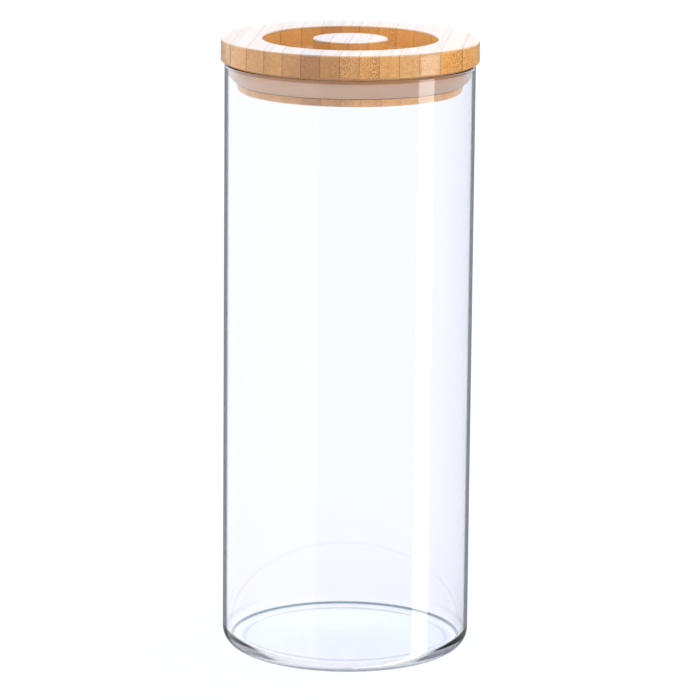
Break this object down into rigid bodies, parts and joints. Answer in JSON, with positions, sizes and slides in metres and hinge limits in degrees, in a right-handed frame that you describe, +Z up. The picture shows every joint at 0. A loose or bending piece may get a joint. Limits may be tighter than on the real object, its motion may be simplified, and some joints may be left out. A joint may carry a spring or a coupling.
{
  "type": "lidded glass canister",
  "caption": "Tall straight glass storage jar with a rounded foot and a glued bamboo lid, whose recessed ring leaves a round finger knob and whose plug carries a flared silicone seal.",
  "frame": {"origin": "centre of the jar's foot, on the surface it stands on", "axes": "+Z up along the jar; the bamboo strips run within about 5 degrees of Y"},
  "size_m": [0.103, 0.103, 0.249],
  "materials": {
    "glass": "clear polished borosilicate glass",
    "silicone": "milky translucent silicone",
    "bamboo": "satin varnished bamboo"
  },
  "bodies": {
    "jar": {"glass_jar": "glass"},
    "lid": {"silicone_seal": "silicone", "bamboo_strip_01": "bamboo", "bamboo_strip_02": "bamboo", "bamboo_strip_03": "bamboo", "bamboo_strip_04": "bamboo", "bamboo_strip_05": "bamboo", "bamboo_strip_06": "bamboo", "bamboo_strip_07": "bamboo", "bamboo_strip_08": "bamboo", "bamboo_strip_09": "bamboo", "bamboo_strip_10": "bamboo", "bamboo_strip_11": "bamboo", "bamboo_strip_12": "bamboo", "bamboo_strip_13": "bamboo", "bamboo_strip_14": "bamboo"}
  },
  "joints": [
    {"name": "lid_lift", "type": "slide", "parent": "jar", "child": "lid", "axis": [0, 0, 1], "range_m": [0, 0.06]}
  ]
}
